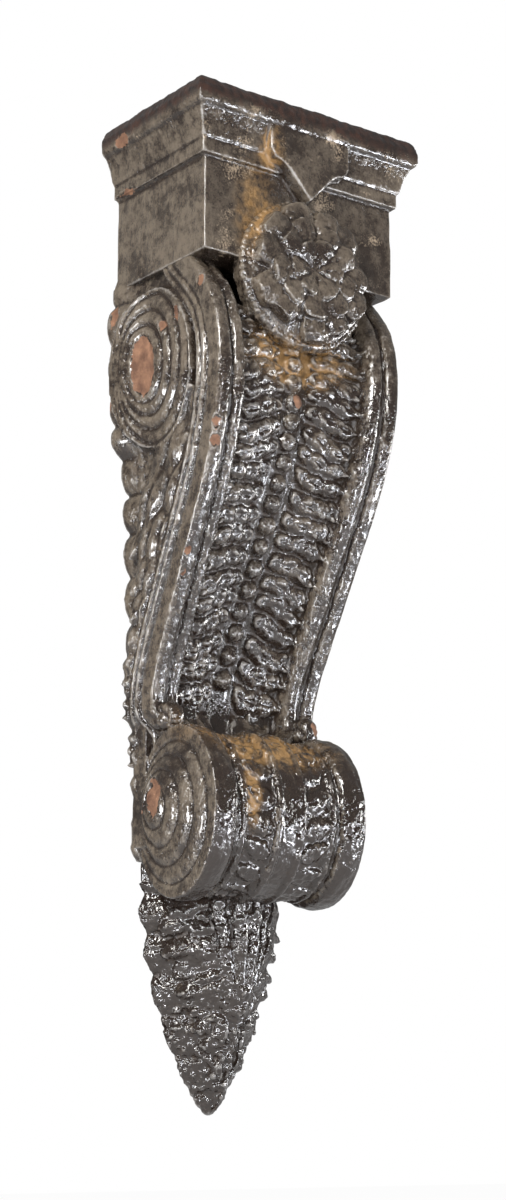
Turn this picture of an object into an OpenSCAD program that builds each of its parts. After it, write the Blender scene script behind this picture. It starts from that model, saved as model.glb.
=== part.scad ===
// Carved scroll corbel: a moulded crown and die with a petalled boss, a tapering
// S-scroll with a beaded leaf panel, a roll at its foot and a pendant leaf below.
// Wall plane at y = 0, front towards -y, width along x. Millimetres.

/* [Block] */
// Width of the die, the plain block at the top
die_w = 220; // [190:2:260]
// Depth of the die from the wall
die_d = 142; // [120:2:180]
// Height of the die from the crown to its underside
die_h = 91; // [75:1:115]

/* [Crown] */
// Height of the thin fillet under the crown
fillet_h = 14; // [8:1:20]
// Projection of that fillet from the die
fillet_out = 5; // [3:0.5:9]
// Height of the splay above the fillet
splay_h = 26; // [18:1:36]
// Projection of the splay at its top
splay_out = 15; // [11:0.5:22]
// Height of the lip, up to the flat top
lip_h = 27; // [18:1:36]
// Projection of the lip at its arris
lip_out = 20; // [16:0.5:26]

/* [Shield tab] */
// Width of the tab on the crown
tab_w = 92; // [70:1:110]
// Width of the tab between its lower shoulders
tab_neck_w = 58; // [40:1:66]
// Drop of the tab's point below the crown
tab_drop = 25; // [15:1:34]

/* [Boss] */
// Radius of the boss to the outside of its rim
boss_r = 74; // [60:1:84]
// How far the boss stands in front of the die
boss_out = 34; // [24:1:46]
// Thickness of the boss's rolled rim
rim_t = 13; // [8:1:18]
// Petals in the outer ring
outer_petals = 11; // [9:1:13]
// Petals in the middle ring
middle_petals = 7; // [5:1:9]

/* [Scroll] */
// Length of the scroll from the die's underside to the waist
scroll_len = 400; // [340:5:460]
// Depth of the scroll where it leaves the die
neck_d = 107; // [90:1:120]
// Greatest depth of the scroll
belly_d = 159; // [140:1:180]
// Depth of the scroll at its waist
waist_d = 42; // [34:1:56]
// Width of the scroll under the die
scroll_w = 216; // [184:2:250]
// Width of the scroll at its waist
waist_w = 184; // [170:2:210]
// Width of each of the two bands beside the panel
band_w = 16; // [12:1:20]
// Width of the groove between the bands
groove_w = 3; // [2:0.5:5]
// Depth of the panel behind the arris
panel_in = 31; // [22:1:36]
// Height that side carving stands proud
side_relief = 4; // [2:0.5:6]

/* [Beads and leaves] */
// Diameter of a bead
bead_dia = 19; // [15:0.5:22]
// Distance from bead to bead along the panel
bead_pitch = 21; // [19:0.5:26]
// Number of beads
bead_count = 17; // [12:1:18]
// Height of a panel leaf
leaf_h = 19; // [12:1:22]

/* [Roll] */
// Height of the roll's end discs
roll_h = 157; // [130:1:180]
// Depth of the roll's end discs
roll_d = 125; // [100:1:150]
// Gap between the wall and the back of the roll
roll_gap = 4; // [1:1:12]
// Width of the roll over its ends
roll_w = 168; // [150:2:190]
// Width of each end moulding
roll_end_w = 30; // [22:1:40]
// Width of the raised belt around its middle
belt_w = 30; // [20:1:44]

/* [Pendant leaf] */
// Length of the pendant leaf from the roll's underside to its tip
pendant_len = 181; // [150:1:210]
// Width of the pendant leaf where it leaves the roll
pendant_w = 152; // [130:2:176]
// How far the pendant leaf stands off the wall
pendant_out = 58; // [46:1:70]
// Ribs down its middle
ribs = 4; // [3:1:5]

/* [Hidden] */
black_paint = "#2b2724";
worn_paint = "#453d36";
crown_h = fillet_h + splay_h + lip_h;
crown_z = 0;                             // underside of the crown, before the origin is set
die_z = crown_z - die_h;
waist_z = die_z - scroll_len;
roll_axis = roll_gap + roll_d / 2;       // from the wall to the roll's axis
roll_z = waist_z - roll_h / 2 - 22;
roll_low = roll_z - roll_h / 2;
tip_z = roll_low - pendant_len;
origin_z = (crown_h + tip_z) / 2;        // middle of the wall face
boss_z = die_z - 4;
into = 12;                               // how far pieces are let into each other

// Smooth curve through a few set-out points
function bend(a, b, c, d, t) =
    0.5 * (2*b + (c - a)*t + (2*a - 5*b + 4*c - d)*t*t + (3*b - a - 3*c + d)*t*t*t);
function curve(pts, steps) = [
    for (i = [0:len(pts)-2], s = [0:steps-1])
        bend(pts[max(i-1, 0)], pts[i], pts[i+1], pts[min(i+2, len(pts)-1)], s/steps),
    pts[len(pts)-1]];
function unit(v) = v / norm(v);
function along(line, i) = unit(line[min(i+1, len(line)-1)] - line[max(i-1, 0)]);
// The line moved inwards, away from the front
function inset(line, d) = [for (i = [0:len(line)-1]) line[i] + d * [-along(line, i)[1], along(line, i)[0]]];
function run(line, i) = i == 0 ? 0 : run(line, i-1) + norm(line[i] - line[i-1]);
function oval(half_d, half_h, n) = [for (i = [0:n-1]) [half_d * cos(360*i/n), half_h * sin(360*i/n)]];

// Front line of the scroll, as [y, z], from the die down to behind the roll
front_line = curve([
    [-neck_d, die_z + into],
    [-(neck_d + 0.79 * (belly_d - neck_d)), die_z - 0.10 * scroll_len],
    [-belly_d, die_z - 0.27 * scroll_len],
    [-(waist_d + 0.85 * (belly_d - waist_d)), die_z - 0.46 * scroll_len],
    [-(waist_d + 0.43 * (belly_d - waist_d)), die_z - 0.71 * scroll_len],
    [-(waist_d + 0.10 * (belly_d - waist_d)), die_z - 0.90 * scroll_len],
    [-waist_d, waist_z],
    [-waist_d - 8, waist_z - 30],
    [-waist_d - 8, roll_z - roll_h / 4]], 6);
panel_line = inset(front_line, panel_in);
panel_run = [for (i = [0:len(panel_line)-1]) [run(panel_line, i), i]];
panel_start = 92;                        // run of the first bead, just under the boss

// A spot on the panel at a given run: [y, z], and the way the line goes there
function spot(s) =
    let (k = lookup(s, panel_run), i = min(floor(k), len(panel_line)-2))
    panel_line[i] + (k - i) * (panel_line[i+1] - panel_line[i]);
function heading(s) = along(panel_line, min(floor(lookup(s, panel_run)), len(panel_line)-2));

// Half width of the scroll at a height
function half_w(z) = let (t = min(max((die_z - z) / scroll_len, 0), 1))
    scroll_w/2 + t * (waist_w - scroll_w)/2;
tuck = 30;                               // drop below the waist over which the bands draw in
tuck_half_w = min(half_w(waist_z), roll_w/2) - 5;   // half width between the roll's ends
strip_half_w = roll_w/2 + 3;             // half width of the strip along the wall behind the roll
strip_d = 9;                             // depth of that strip

module slab_x(outline, x0, x1) {
    translate([x0, 0, 0]) rotate([90, 0, 90]) linear_extrude(x1 - x0) polygon(outline);
}
module slab_y(outline, depth) {
    rotate([90, 0, 0]) linear_extrude(depth) polygon(outline);
}
// Region between the wall and a line, let into the die at its top
function to_wall(line) = concat([[line[0][0], die_z + into]], line,
    [[0, line[len(line)-1][1]], [0, die_z + into]]);
// Region between two lines
function strip(a, b) = concat(a, [for (i = [len(b)-1:-1:0]) b[i]]);

// Front outline between two offsets from the scroll's tapering edge, on one side
module edge_band(side, out, wide) {
    top = die_z + into + 1;
    foot = roll_z - roll_h / 4 - 1;
    edge = [[half_w(top), top], [half_w(waist_z), waist_z], [tuck_half_w, waist_z - tuck], [tuck_half_w, foot]];
    slab_y(concat(
        [for (p = edge) [side * (p[0] + out), p[1]]],
        [for (i = [len(edge)-1:-1:0]) [side * (edge[i][0] + out - wide), edge[i][1]]]), belly_d + panel_in);
}

// Solid lofted through closed rings that turn right-handed about the way they advance
module loft(rings) {
    n = len(rings[0]);
    last = len(rings) - 1;
    polyhedron([for (ring = rings, p = ring) p], concat(
        [[for (i = [0:n-1]) i]],
        [for (j = [0:last-1], i = [0:n-1]) let (k = (i+1) % n) [j*n + i, (j+1)*n + i, (j+1)*n + k]],
        [for (j = [0:last-1], i = [0:n-1]) let (k = (i+1) % n) [j*n + i, (j+1)*n + k, j*n + k]],
        [[for (i = [n-1:-1:0]) last*n + i]]));
}

module die() {
    color(worn_paint)
        translate([-die_w/2, -die_d, die_z]) cube([die_w, die_d, die_h + 1]);
}

// Projection and height of each arris of the crown
crown_steps = [
    [-into, 0], [fillet_out, 0], [fillet_out, fillet_h], [fillet_out + 2, fillet_h + 1],
    [splay_out - 3, fillet_h + splay_h * 0.7], [splay_out, fillet_h + splay_h],
    [lip_out - 3, fillet_h + splay_h + 1], [lip_out, fillet_h + splay_h + 5],
    [lip_out - 2, crown_h - 8], [lip_out - 5, crown_h]];

module crown() {
    front = concat([for (p = crown_steps) [-die_d - p[0], p[1]]], [[0, crown_h], [0, 0]]);
    sides = concat(
        [for (p = crown_steps) [-die_w/2 - p[0], p[1]]],
        [for (i = [len(crown_steps)-1:-1:0]) [die_w/2 + crown_steps[i][0], crown_steps[i][1]]]);
    color(worn_paint) intersection() {
        slab_x(front, -die_w, die_w);
        slab_y(sides, die_d + 2 * lip_out);
    }
}

// The shield-shaped tab over the crown, ending in a point above the boss
module tab() {
    top = fillet_h + splay_h + 6;
    color(worn_paint) translate([0, -die_d + into, 0])
        slab_y([
            [-tab_w/2, top], [-tab_w/2, fillet_h + 4], [-tab_w/2 + 4, fillet_h - 4],
            [-tab_neck_w/2, fillet_h - 10], [-tab_neck_w/2 + 3, 3], [0, -tab_drop],
            [tab_neck_w/2 - 3, 3], [tab_neck_w/2, fillet_h - 10],
            [tab_w/2 - 4, fillet_h - 4], [tab_w/2, fillet_h + 4], [tab_w/2, top]],
            into + splay_out + 1);
}

// The boss: a dome of overlapping petals inside a rolled rim, in one lofted solid
boss_steps = 44;
function petal(a, count, turn) = abs(cos((a + turn) * count / 2));
// Height of the petalled dome at a share of the radius inside the rim
function dome_height(t, a) = (boss_out - 1) * sqrt(1 - 0.8*t*t)
    - (t > 0.62 ? 5 * (1 - petal(a, outer_petals, 0)) : t > 0.3 ? 5 * (1 - petal(a, middle_petals, 20)) : 0)
    - (t > 0.5 && t < 0.66 ? 4 : 0) - (t > 0.24 && t < 0.34 ? 3 : 0);
// The rim, as [radius, height] from the die inwards
rim_line = [[boss_r - 2, -into], [boss_r - 2, 0],
    for (a = [0:45:180]) [boss_r - rim_t/2 * (1 - cos(a)), rim_t/2 * (0.6 + sin(a))]];
module boss() {
    reach = boss_r - rim_t;
    color(black_paint) translate([0, -die_d, boss_z]) rotate([90, 0, 0])
        loft(concat(
            [for (p = rim_line)
                [for (i = [0:boss_steps-1]) let (a = 360*i/boss_steps) [p[0] * cos(a), p[0] * sin(a), p[1]]]],
            [for (t = [0.94, 0.82, 0.68, 0.56, 0.44, 0.33, 0.25, 0.1])
                [for (i = [0:boss_steps-1]) let (a = 360*i/boss_steps)
                    [reach * t * cos(a), reach * t * sin(a), dome_height(t, a)]]]));
}

// Body of the scroll: recessed core, two bands on each side, ridges behind the arris
module scroll() {
    color(black_paint) {
        intersection() {
            slab_x(to_wall(panel_line), -scroll_w, scroll_w);
            slab_y([
                [-half_w(die_z) + 5, die_z + into - 1], [half_w(die_z) - 5, die_z + into - 1],
                [half_w(waist_z) - 5, waist_z], [tuck_half_w - 5, waist_z - tuck],
                [tuck_half_w - 5, roll_z - roll_h/4 + 1], [-tuck_half_w + 5, roll_z - roll_h/4 + 1],
                [-tuck_half_w + 5, waist_z - tuck], [-half_w(waist_z) + 5, waist_z]],
                belly_d);
        }
        for (side = [-1, 1]) {
            intersection() {
                slab_x(to_wall(front_line), -scroll_w, scroll_w);
                edge_band(side, 0, band_w);
            }
            intersection() {
                slab_x(to_wall(inset(front_line, 7)), -scroll_w, scroll_w);
                edge_band(side, -band_w + 2, groove_w + 3);
            }
            intersection() {
                slab_x(to_wall(inset(front_line, 3)), -scroll_w, scroll_w);
                edge_band(side, -band_w - groove_w, band_w - 2);
            }
            for (k = [0, 1])
                intersection() {
                    slab_x(strip(inset(front_line, 24 + 9*k), inset(front_line, 29 + 9*k)),
                        -scroll_w, scroll_w);
                    edge_band(side, side_relief, 2 * side_relief);
                }
        }
    }
}

// The upper volute on each side: an eye and three rings that open towards the front
volute_z = die_z - 90;
volute_rings = [[45, 20, 33], [53, 30, 50], [58, 39, 66]];   // [from the wall, half depth, half height]
module volute(side) {
    color(worn_paint)
        for (k = [0:len(volute_rings)-1]) {
            r = volute_rings[k];
            reach = half_w(volute_z) + side_relief + 2;
            translate([0, -r[0], volute_z])
                slab_x(oval(r[1], r[2], 36),
                    side < 0 ? -reach + 2*k : reach - 2*k - 14,
                    side < 0 ? -reach + 2*k + 14 : reach - 2*k);
        }
}

// Acanthus lobes up each side, from the roll to the volute, with their tips at the wall
side_leaves = 6;
leaf_rows = 5;                           // rows of points to a side leaf
depth_at = [for (i = [len(front_line)-1:-1:0]) [front_line[i][1], -front_line[i][0]]];
module side_acanthus(side) {
    top = volute_z - 60;
    foot = roll_z - 20;
    color(black_paint) mirror([side < 0 ? 1 : 0, 0, 0])
        loft([for (j = [0:side_leaves*leaf_rows])
            let (z = top - (top - foot) * j / (side_leaves*leaf_rows),
                 wide = max(lookup(z, depth_at) - 44, 14),
                 x = lookup(z, [[waist_z - tuck, tuck_half_w], [waist_z, half_w(waist_z)], [die_z, half_w(die_z)]]))
            concat(
                [for (v = [0, 0.3, 0.65, 1])
                    [x - 1 + (side_relief + 2) * (1 - v*v) * abs(sin(180 * (j/leaf_rows + 0.7*v))),
                     -wide * v, z]],
                [[x - 8, -wide, z], [x - 8, 0, z]])]);
}

// Round beads down the middle of the panel, let into it by a third
module beads() {
    color(black_paint)
        for (i = [0:bead_count-1]) {
            p = spot(panel_start + i * bead_pitch);
            go = heading(panel_start + i * bead_pitch);
            translate([0, p[0], p[1]]) rotate([90 + atan2(-go[0], -go[1]), 0, 0])
                sphere(d = bead_dia, $fn = 12);
        }
}

// Leaves that fan out from the beads towards the bands, cupped up at their tips
leaf_steps = 4;                          // rows of points to a panel leaf
leaf_lead = 5;                           // rows that run on above the first bead, behind the boss
leaf_across = [1, 0.75, 0.5, 0.25, 0];
function leaf_lift(v, turn) = leaf_h * (0.1 + 0.75*v*v + 0.3 * (1 + v) * abs(sin(180 * (turn - 0.45*v))));
module panel_leaves(side) {
    color(black_paint) mirror([side < 0 ? 1 : 0, 0, 0])
        loft([for (j = [-leaf_lead:bead_count*leaf_steps])
            let (s = panel_start + (j/leaf_steps - 0.5) * bead_pitch, p = spot(s),
                 out = [heading(s)[1], -heading(s)[0]], near = bead_dia * 0.42,
                 far = half_w(p[1]) - 2*band_w + 2)
            concat(
                [for (v = leaf_across)
                    let (q = p + out * (leaf_lift(v, j/leaf_steps) - 2))
                    [near + (far - near) * v, q[0], q[1]]],
                [for (x = [near, far]) let (q = p - out * 8) [x, q[0], q[1]]])]);
}

// The roll: end mouldings with rings, a belt between them and a sunk drum
module roll() {
    drum = 0.92;
    color(black_paint) translate([0, -roll_axis, roll_z]) {
        slab_x(oval(roll_d/2 * drum, roll_h/2 * drum, 56), -roll_w/2 + 5, roll_w/2 - 5);
        slab_x(oval(roll_d/2 * 0.99, roll_h/2 * 0.99, 56), -belt_w/2, belt_w/2);
        for (side = [-1, 1]) {
            outer = side * (roll_w/2 - 3);
            inner = side * (roll_w/2 - roll_end_w * 0.45);
            slab_x(oval(roll_d/2, roll_h/2, 56), min(outer, inner), max(outer, inner));
            seat = side * (roll_w/2 - roll_end_w * 0.55);
            edge = side * (roll_w/2 - roll_end_w);
            slab_x(oval(roll_d/2 * 0.97, roll_h/2 * 0.97, 56), min(seat, edge), max(seat, edge));
            for (k = [0:2]) {
                face = side * (roll_w/2 - 1.5 + 1.5 * k);
                back = side * (roll_w/2 - 10);
                slab_x(oval(roll_d/2 * (0.80 - 0.22*k), roll_h/2 * (0.80 - 0.22*k), 40),
                    min(face, back), max(face, back));
            }
        }
    }
}

// Curled ends of the bands, resting on the roll's shoulders
module ears() {
    color(black_paint)
        for (side = [-1, 1])
            translate([side * (waist_w/2 - 14), -waist_d - 6, waist_z - 14])
                slab_x(oval(15, 17, 20), -12, 12);
}

// Strip along the wall behind the roll, a little wider than the roll's ends
module back_plate() {
    color(worn_paint) {
        translate([-tuck_half_w + 1, -roll_gap - 18, roll_z - 28])
            cube([2 * tuck_half_w - 2, roll_gap + 18, waist_z - roll_z + 60]);
        translate([-strip_half_w, -strip_d, roll_z - 36])
            cube([2 * strip_half_w, strip_d, waist_z - roll_z + 30]);
    }
}

// Pendant leaf: rings from the roll down to the tip, ribbed and scalloped
pendant_rows = 24;
pendant_cols = 24;
function leaf_width(t) = pendant_w/2 * pow(1 - pow(t, 2.1), 0.8) * (1 - 0.045 * cos(360 * 5.5 * t)) + 4;
function leaf_depth(t) = pendant_out * pow(1 - pow(t, 1.9), 0.8) + 9;
// Share of the full depth at an angle round the leaf: ribbed in the middle, lobed at the sides
function ribbed(a, t) = 1 + (abs(a - 90) < 50 ? 0.07 * cos(ribs * 4 * (a - 90)) * (1 - t) : 0)
    + 0.07 * sin(360 * 5.5 * t + abs(a - 90) * 2) * (0.4 + 0.6 * abs(cos(a)));
module pendant() {
    top = roll_low + roll_h * 0.31;
    color(black_paint)
        loft([for (j = [0:pendant_rows]) let (t = j / pendant_rows)
            [for (i = [0:pendant_cols])
                let (a = 180 * i / pendant_cols, edge = i == 0 || i == pendant_cols)
                [leaf_width(t) * sign(cos(a)) * pow(abs(cos(a)), 1.7) * (edge ? 1 : ribbed(a, t)),
                 edge ? 0 : -leaf_depth(t) * pow(sin(a), 1.7) * ribbed(a, t),
                 top - (top - tip_z) * t]]]);
}

module corbel() {
    translate([0, 0, -origin_z]) {
        die();
        crown();
        tab();
        boss();
        scroll();
        for (side = [-1, 1]) {
            volute(side);
            side_acanthus(side);
            panel_leaves(side);
        }
        beads();
        roll();
        ears();
        back_plate();
        pendant();
    }
}

corbel();
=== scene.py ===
import math

import bmesh
import bpy
import numpy as np
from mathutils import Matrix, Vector


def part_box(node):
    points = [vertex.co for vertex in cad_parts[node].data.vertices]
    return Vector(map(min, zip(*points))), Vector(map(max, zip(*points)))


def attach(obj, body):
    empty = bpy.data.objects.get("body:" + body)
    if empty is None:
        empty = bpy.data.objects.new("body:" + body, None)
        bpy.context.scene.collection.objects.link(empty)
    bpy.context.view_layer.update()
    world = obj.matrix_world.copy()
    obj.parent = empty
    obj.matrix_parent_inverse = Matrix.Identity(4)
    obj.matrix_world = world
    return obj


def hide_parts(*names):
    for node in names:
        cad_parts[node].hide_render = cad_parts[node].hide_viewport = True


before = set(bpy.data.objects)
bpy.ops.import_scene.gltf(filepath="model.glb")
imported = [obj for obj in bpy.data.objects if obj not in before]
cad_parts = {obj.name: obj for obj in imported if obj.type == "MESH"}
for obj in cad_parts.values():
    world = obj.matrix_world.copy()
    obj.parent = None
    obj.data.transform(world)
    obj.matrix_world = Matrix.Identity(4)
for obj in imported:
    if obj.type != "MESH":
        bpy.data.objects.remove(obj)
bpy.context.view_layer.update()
boxLow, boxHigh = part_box("corbel")

# The stone is set out in millimetres: x across from the centre line, the wall at y = 0
# with the front at -y, and z = 0 at the underside of the crown.
crownHeight = 67
overallHeight = 918
unit = (boxHigh[2] - boxLow[2]) / overallHeight
setOut = Vector((0, 0, boxHigh[2] / unit - crownHeight))
print("frame loaded, corbel", [round(side / unit) for side in boxHigh - boxLow], "mm")

# Lengths that several parts share
block = {"width": 220, "depth": 142, "height": 91}
scroll = {
    "length": 400, "neckDepth": 107, "bellyDepth": 159, "waistDepth": 42,
    "topWidth": 216, "waistWidth": 184, "drawnIn": 15, "panelInset": 31, "bandWidth": 33,
    "voxel": 1.5, "lumps": 0.5,
}
roll = {
    "height": 157, "depth": 125, "axis": 66.5, "width": 168, "drop": 22,
    "eye": (38, 10), "eyeRadius": 9.5, "turns": 4.5, "leaves": 18, "leafHeight": 4.2,
    "voxel": 1.15, "lumps": 0.7,
}
dieBottom = -block["height"]
waistZ = dieBottom - scroll["length"]
rollZ = waistZ - roll["height"] / 2 - roll["drop"]
rollBottom = rollZ - roll["height"] / 2
leafTip = crownHeight - overallHeight


def softStep(lower, upper, value):
    t = np.clip((value - lower) / (upper - lower), 0, 1)
    return t * t * (3 - 2 * t)


def ridge(value, centre, halfWidth):
    return np.exp(-((value - centre) / halfWidth) ** 4)


# Smooth random field, about -1 to 1, with bumps the given size across
def lumps(points, size, seed=0):
    scaled = points / size + seed * 17.3
    cell = np.floor(scaled).astype(np.int64)
    part = scaled - cell
    part = part * part * (3 - 2 * part)
    total = np.zeros(len(points))
    for corner in range(8):
        step = np.array([corner & 1, corner >> 1 & 1, corner >> 2])
        spot = cell + step
        mixed = (spot[:, 0] * 73856093) ^ (spot[:, 1] * 19349663) ^ (spot[:, 2] * 83492791)
        mixed = (mixed ^ (mixed >> 13)) * 1274126177 & 0x7FFFFFFF
        weight = np.prod(np.where(step, part, 1 - part), axis=1)
        total += weight * ((mixed >> 7) % 20011 / 10005 - 1)
    return total


# Smooth line through a few set-out points, as [y, z] rows
def smoothLine(points, steps):
    points = np.array(points, float)
    rows = []
    for i in range(len(points) - 1):
        a, b = points[max(i - 1, 0)], points[i]
        c, d = points[i + 1], points[min(i + 2, len(points) - 1)]
        for t in np.arange(steps) / steps:
            rows.append(0.5 * (2 * b + (c - a) * t + (2 * a - 5 * b + 4 * c - d) * t ** 2
                               + (3 * b - a - 3 * c + d) * t ** 3))
    return np.array(rows + [points[-1]])


belly, waist, run = scroll["bellyDepth"], scroll["waistDepth"], scroll["length"]
swell = belly - waist
frontLine = smoothLine([
    [-scroll["neckDepth"], dieBottom + 12],
    [-scroll["neckDepth"] - 0.79 * (belly - scroll["neckDepth"]), dieBottom - 0.10 * run],
    [-belly, dieBottom - 0.27 * run],
    [-waist - 0.85 * swell, dieBottom - 0.46 * run],
    [-waist - 0.43 * swell, dieBottom - 0.71 * run],
    [-waist - 0.10 * swell, dieBottom - 0.90 * run],
    [-waist, waistZ],
    [-waist - 8, waistZ - 30],
    [-waist - 8, rollZ - roll["height"] / 4]], 24)
lineStep = np.gradient(frontLine, axis=0)
lineStep /= np.linalg.norm(lineStep, axis=1)[:, None]
lineOut = np.stack([lineStep[:, 1], -lineStep[:, 0]], axis=1)    # towards the front
lineRun = np.concatenate([[0], np.cumsum(np.linalg.norm(np.diff(frontLine, axis=0), axis=1))])


# Half the scroll's width at a height, drawn in below the waist to pass between the roll's ends
def halfWidth(z):
    taper = np.clip((dieBottom - z) / run, 0, 1) * (scroll["topWidth"] - scroll["waistWidth"]) / 2
    return scroll["topWidth"] / 2 - taper - scroll["drawnIn"] * softStep(waistZ - 4, waistZ - 34, z)


# Point on the front line at a run along it, moved inwards by an inset
def onLine(distance, inset):
    y, z = (np.interp(distance, lineRun, frontLine[:, i]) for i in range(2))
    outY, outZ = (np.interp(distance, lineRun, lineOut[:, i]) for i in range(2))
    return y - outY * inset, z - outZ * inset


# Solid with a carved front: a grid thickened, with both skins put in place by functions
def carvedSlab(shape, stepsU, stepsV, front, back):
    sheet = bmesh.ops.create_grid(shape, x_segments=stepsU, y_segments=stepsV, size=0.5)["verts"]
    faces = list({face for vert in sheet for face in vert.link_faces})
    thick = bmesh.ops.extrude_face_region(shape, geom=faces, use_keep_orig=True)["geom"]
    lid = [item for item in thick if isinstance(item, bmesh.types.BMVert)]
    for verts, place in ((sheet, back), (lid, front)):
        spots = np.array([vert.co[:2] for vert in verts]) + 0.5
        places = np.stack(np.broadcast_arrays(*place(spots[:, 0], spots[:, 1])), axis=1)
        for vert, spot in zip(verts, places):
            vert.co = spot


# Straight prism: an outline given across two axes, drawn out along the third
def prism(shape, outline, start, end, axis="x"):
    def spot(a, b, c):
        return (c, a, b) if axis == "x" else (a, c, b)
    face = shape.faces.new([shape.verts.new(spot(a, b, start)) for a, b in outline])
    drawn = bmesh.ops.extrude_face_region(shape, geom=[face], use_keep_orig=True)["geom"]
    verts = [item for item in drawn if isinstance(item, bmesh.types.BMVert)]
    bmesh.ops.translate(shape, verts=verts, vec=Vector(spot(0, 0, end - start)))


def ball(shape, place, radius, stretch=(1, 1, 1)):
    made = bmesh.ops.create_icosphere(shape, subdivisions=3, radius=radius)["verts"]
    bmesh.ops.scale(shape, verts=made, vec=stretch)
    bmesh.ops.translate(shape, verts=made, vec=place)


def applied(piece):
    made = bpy.data.meshes.new_from_object(piece.evaluated_get(bpy.context.evaluated_depsgraph_get()))
    piece.modifiers.clear()
    piece.data = made


def readPoints(mesh, what="co"):
    values = np.empty(len(mesh.vertices) * 3, np.float32)
    mesh.vertices.foreach_get(what, values)
    return values.reshape(-1, 3).astype(float)


def writePoints(mesh, points):
    mesh.vertices.foreach_set("co", points.astype(np.float32).ravel())
    mesh.update()


# Each point moved to the middle of its neighbours, a number of times
def relaxed(mesh, points, rounds):
    ends = np.empty(len(mesh.edges) * 2, np.int32)
    mesh.edges.foreach_get("vertices", ends)
    first, second = ends[::2], ends[1::2]
    count = np.bincount(ends, minlength=len(points))[:, None]
    for _ in range(rounds):
        total = np.empty_like(points)
        for i in range(3):
            total[:, i] = (np.bincount(first, points[second, i], len(points))
                           + np.bincount(second, points[first, i], len(points)))
        points = 0.5 * points + 0.5 * total / count
    return points


# Where the paint has come off down to the stone, and how far each chip reaches across, out and up
chips = [
    {"at": (-112, -47, -178), "size": (16, 15, 29)},     # upper eye
    {"at": (-108, -98, -142), "size": (11, 5, 7)},      # two on the volute's rings
    {"at": (-110, -75, -148), "size": (11, 4, 6)},
    {"at": (-105, -132, -119), "size": (9, 5, 5)},       # top of the arris
    {"at": (-112, -8, -122), "size": (12, 5, 11)},       # wall edge beside the volute
    {"at": (-112, 0, -198), "size": (12, 5, 20)},
    {"at": (-116, -18, 1), "size": (6, 16, 3)},          # step and splay of the crown
    {"at": (-130, -34, 45), "size": (7, 10, 6)},
    {"at": (-101, -148, -256), "size": (5, 4, 7)},       # specks down the arris
    {"at": (-98, -143, -271), "size": (5, 4, 6)},
    {"at": (-94, -90, -384), "size": (4, 3, 4)},
    {"at": (-96, -99, -363), "size": (3, 3, 4)},
    {"at": (2, -137, -213), "size": (7, 6, 8)},          # one bead
    {"at": (-97, -42, -577), "size": (14, 10, 19)},       # lower eye
    {"at": (-94, -22, -580), "size": (11, 3, 9)},
    {"at": (84, -62, -499), "size": (8, 8, 10)},         # right-hand curl above the roll
]
# Where dust lies thickest: around the boss, under it, on the roll's top and beside the tab
dusty = [
    {"at": (-52, -146, -50), "size": (30, 12, 62)}, {"at": (0, -128, -172), "size": (80, 30, 34)},
    {"at": (-6, -104, -524), "size": (84, 42, 34)}, {"at": (-42, -152, 14), "size": (14, 14, 34)},
    {"at": (-60, -88, -512), "size": (36, 46, 28)}, {"at": (-40, -128, -560), "size": (13, 20, 60)},
]


def chipEdge(points):
    edge = np.full(len(points), 9.0)
    for chip in chips:
        away = (points - np.array(chip["at"])) / np.array(chip["size"])
        edge = np.minimum(edge, (np.linalg.norm(away, axis=1) - 1) * min(chip["size"]))
    return edge


# Takes out specks that the skinning leaves loose inside a piece
def dropCrumbs(mesh, fewest=200):
    shape = bmesh.new()
    shape.from_mesh(mesh)
    waiting = set(shape.verts)
    while waiting:
        island, edge = [], [waiting.pop()]
        while edge:
            vert = edge.pop()
            island.append(vert)
            near = {link.other_vert(vert) for link in vert.link_edges} & waiting
            waiting -= near
            edge.extend(near)
        if len(island) < fewest:
            bmesh.ops.delete(shape, geom=island, context="VERTS")
    shape.to_mesh(mesh)
    shape.free()


# How deep a chip is in millimetres, and rounds of smoothing that tell hollows of each size
finish = {
    "chipDepth": 1.1, "rounding": 2, "fineRounds": 6, "broadRounds": 60, "slopeRounds": 14,
    "wallSnap": 2, "hiddenGap": 1, "mostTriangles": 190000, "creaseAngle": 55,
}


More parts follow.
